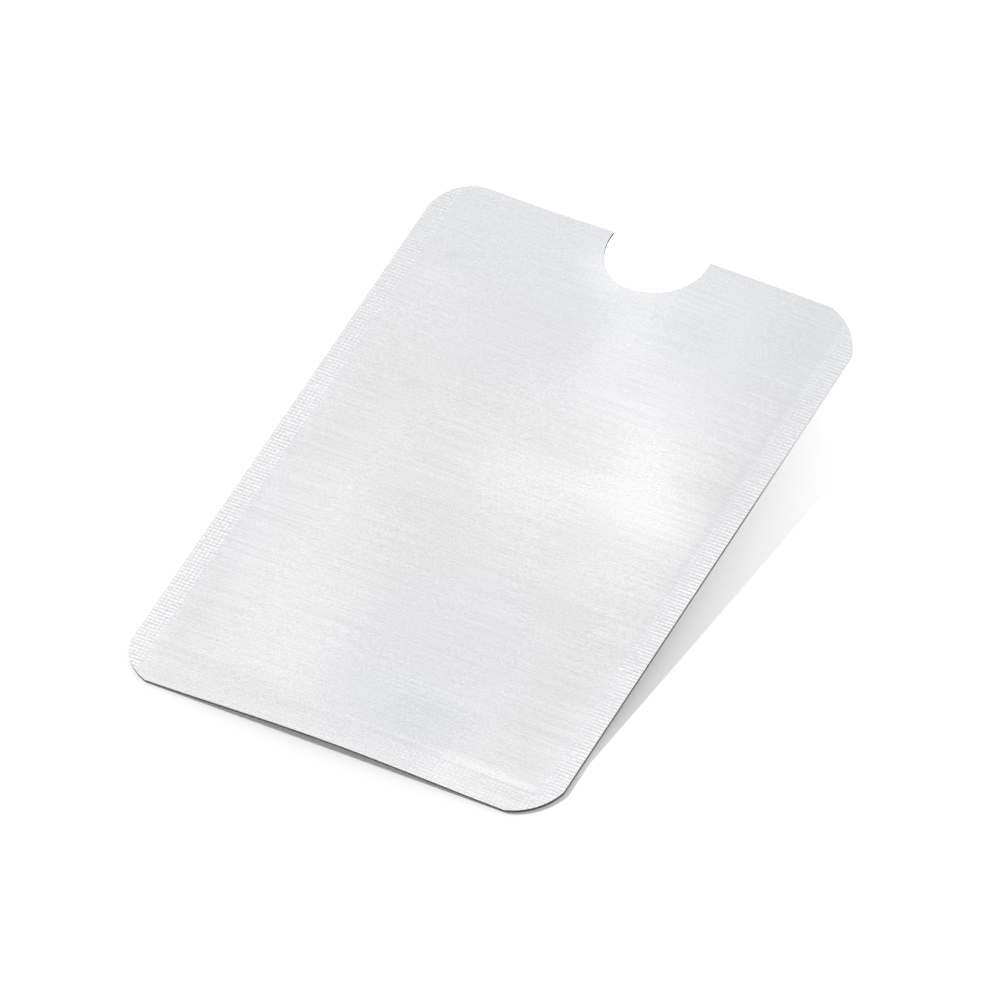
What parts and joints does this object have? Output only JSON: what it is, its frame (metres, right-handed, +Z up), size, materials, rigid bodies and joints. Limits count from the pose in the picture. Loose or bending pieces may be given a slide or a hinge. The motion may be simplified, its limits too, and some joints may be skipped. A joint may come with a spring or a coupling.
{
  "type": "rfid blocking card sleeve",
  "caption": "Flat brushed-silver shielding sleeve for one card, sealed along three edges by ribbed bands, with an open mouth and a round thumb notch.",
  "frame": {"origin": "centre of the sleeve's outline, on the surface that it lies on", "axes": "+Z up out of the front panel, +Y towards the open mouth and the thumb notch, +X to the right seen from the front"},
  "size_m": [0.063, 0.091, 0.0016],
  "materials": {
    "silver_film": "fine straight brushing across the width, satin",
    "shield_foil": "bright rolled foil",
    "liner": "dark grey matt lining",
    "seal": "dark grey fused lining"
  },
  "bodies": {
    "root": {"back_outer_film": "silver_film", "back_shield_foil": "shield_foil", "back_liner": "liner", "left_seal": "seal", "right_seal": "seal", "bottom_seal": "seal", "front_liner": "liner", "front_shield_foil": "shield_foil", "front_outer_film": "silver_film"}
  },
  "joints": []
}
